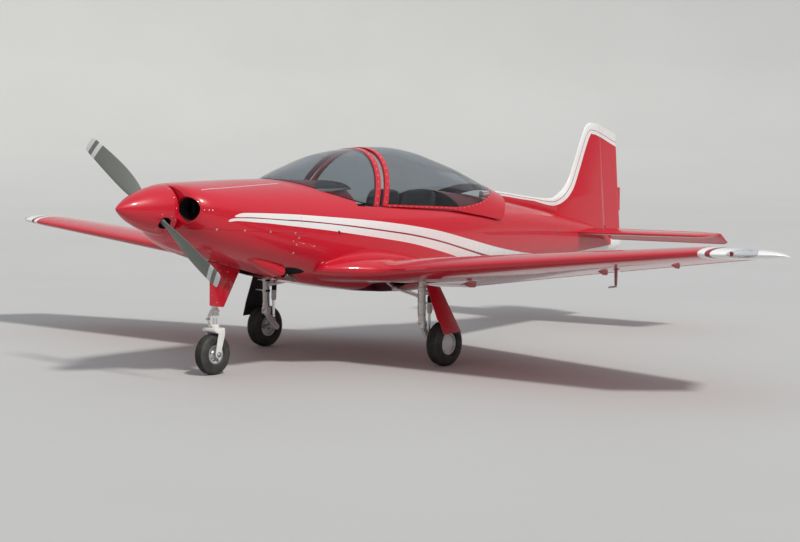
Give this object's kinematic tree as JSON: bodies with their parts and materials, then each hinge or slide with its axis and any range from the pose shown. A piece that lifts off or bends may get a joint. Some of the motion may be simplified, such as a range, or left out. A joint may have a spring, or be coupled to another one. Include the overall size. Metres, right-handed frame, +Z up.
{
  "type": "light aircraft",
  "caption": "Two-seat low-wing light aircraft on retractable tricycle gear, with sliding bubble canopy, propeller, control surfaces and flaps that move.",
  "frame": {"origin": "on the ground under the middle of the bounding box", "axes": "+X forward to the spinner tip, +Y to the left wing tip, +Z up"},
  "size_m": [6.5, 8, 1.934],
  "materials": {
    "red_airframe": "gloss red paint over plywood",
    "red_cowl": "gloss red paint over glassfibre",
    "red_metal": "gloss red paint over aluminium",
    "white_cone": "gloss white paint",
    "clear_plastic": "smoke tinted acrylic",
    "lens": "clear lens",
    "engine": "dark, plain block",
    "dark_interior": "matt dark",
    "dark_metal": "matt dark",
    "seat_fabric": "dark grey cloth",
    "leg_paint": "light grey paint",
    "steel": "bright steel",
    "blade": "satin grey paint",
    "tyre": "black rubber",
    "wheel": "silver paint"
  },
  "bodies": {
    "airframe": {"cowl_upper": "red_cowl", "cowl_lower": "red_cowl", "engine_block": "engine", "prop_flange": "steel", "windshield_glass": "clear_plastic", "windshield_bow": "red_metal", "fuselage": "red_airframe", "tail_cone": "white_cone", "wing_left": "red_airframe", "wing_right": "red_airframe", "tip_light_left": "lens", "tip_light_right": "lens", "pitot": "steel", "tailplane": "red_airframe", "fin": "red_airframe", "instrument_panel": "dark_metal", "seat_base": "dark_interior", "seat_cushion_left": "seat_fabric", "seat_back_left": "seat_fabric", "seat_cushion_right": "seat_fabric", "seat_back_right": "seat_fabric", "baggage_shelf": "dark_interior", "control_sticks": "dark_metal", "nose_leg": "leg_paint", "nose_door": "red_metal", "main_leg_left": "leg_paint", "main_link_left": "leg_paint", "main_shock_left": "steel", "main_brace_left": "leg_paint", "main_door_left": "red_metal", "exhaust_left": "steel", "main_leg_right": "leg_paint", "main_link_right": "leg_paint", "main_shock_right": "steel", "main_brace_right": "leg_paint", "main_door_right": "red_metal", "exhaust_right": "steel"},
    "propeller": {"spinner": "red_cowl", "propeller": "blade"},
    "nose_fork": {"nose_fork": "leg_paint"},
    "nose_wheel": {"nose_tyre": "tyre", "nose_rim": "wheel"},
    "wheel_left": {"main_tyre_left": "tyre", "main_rim_left": "wheel"},
    "wheel_right": {"main_tyre_right": "tyre", "main_rim_right": "wheel"},
    "canopy": {"canopy_frame": "red_metal", "canopy_glass": "clear_plastic"},
    "rudder": {"rudder": "red_airframe"},
    "elevator": {"elevator": "red_airframe"},
    "aileron_left": {"aileron_left": "red_airframe"},
    "aileron_right": {"aileron_right": "red_airframe"},
    "flap_left": {"flap_left": "red_airframe"},
    "flap_right": {"flap_right": "red_airframe"}
  },
  "joints": [
    {"name": "propeller_spin", "type": "hinge", "parent": "airframe", "child": "propeller", "pos_m": [3.25, 0, 1.265], "axis": [0.999, 0, 0.0436], "continuous": true},
    {"name": "nose_steer", "type": "hinge", "parent": "airframe", "child": "nose_fork", "pos_m": [2.295, 0, 0.34], "axis": [0, 0, 1], "range_deg": [-20, 20]},
    {"name": "nose_wheel_roll", "type": "hinge", "parent": "nose_fork", "child": "nose_wheel", "pos_m": [2.32, 0, 0.155], "axis": [0, 1, 0], "continuous": true},
    {"name": "left_wheel_roll", "type": "hinge", "parent": "airframe", "child": "wheel_left", "pos_m": [0.77, 0.98, 0.175], "axis": [0, 1, 0], "continuous": true},
    {"name": "right_wheel_roll", "type": "hinge", "parent": "airframe", "child": "wheel_right", "pos_m": [0.77, -0.98, 0.175], "axis": [0, 1, 0], "continuous": true},
    {"name": "canopy_slide", "type": "slide", "parent": "airframe", "child": "canopy", "axis": [-0.999, 0, -0.0438], "range_m": [-0.042, 0.65]},
    {"name": "rudder_swing", "type": "hinge", "parent": "airframe", "child": "rudder", "pos_m": [-2.965, 0, 0.88], "axis": [0.1135, 0, 0.9935], "range_deg": [-25, 25]},
    {"name": "elevator_pitch", "type": "hinge", "parent": "airframe", "child": "elevator", "pos_m": [-2.75, 0, 0.898], "axis": [0, 1, 0], "range_deg": [0, 55]},
    {"name": "left_aileron", "type": "hinge", "parent": "airframe", "child": "aileron_left", "pos_m": [0.36509, 2.101, 0.79746], "axis": [0.1948, 0.9742, 0.1141], "range_deg": [-20, 20]},
    {"name": "right_aileron", "type": "hinge", "parent": "airframe", "child": "aileron_right", "pos_m": [0.36509, -2.101, 0.79746], "axis": [-0.1948, 0.9742, -0.1141], "range_deg": [-20, 20]},
    {"name": "left_flap", "type": "hinge", "parent": "airframe", "child": "flap_left", "pos_m": [0.06717, 0.606, 0.61436], "axis": [-0.194, -0.9737, -0.1193], "range_deg": [0, 40]},
    {"name": "right_flap", "type": "hinge", "parent": "airframe", "child": "flap_right", "pos_m": [0.06717, -0.606, 0.61436], "axis": [0.194, -0.9737, 0.1193], "range_deg": [0, 40]}
  ],
  "couplings": [
    {"joint": "right_aileron", "follows": "left_aileron", "ratio": -1},
    {"joint": "right_flap", "follows": "left_flap", "ratio": 1}
  ]
}
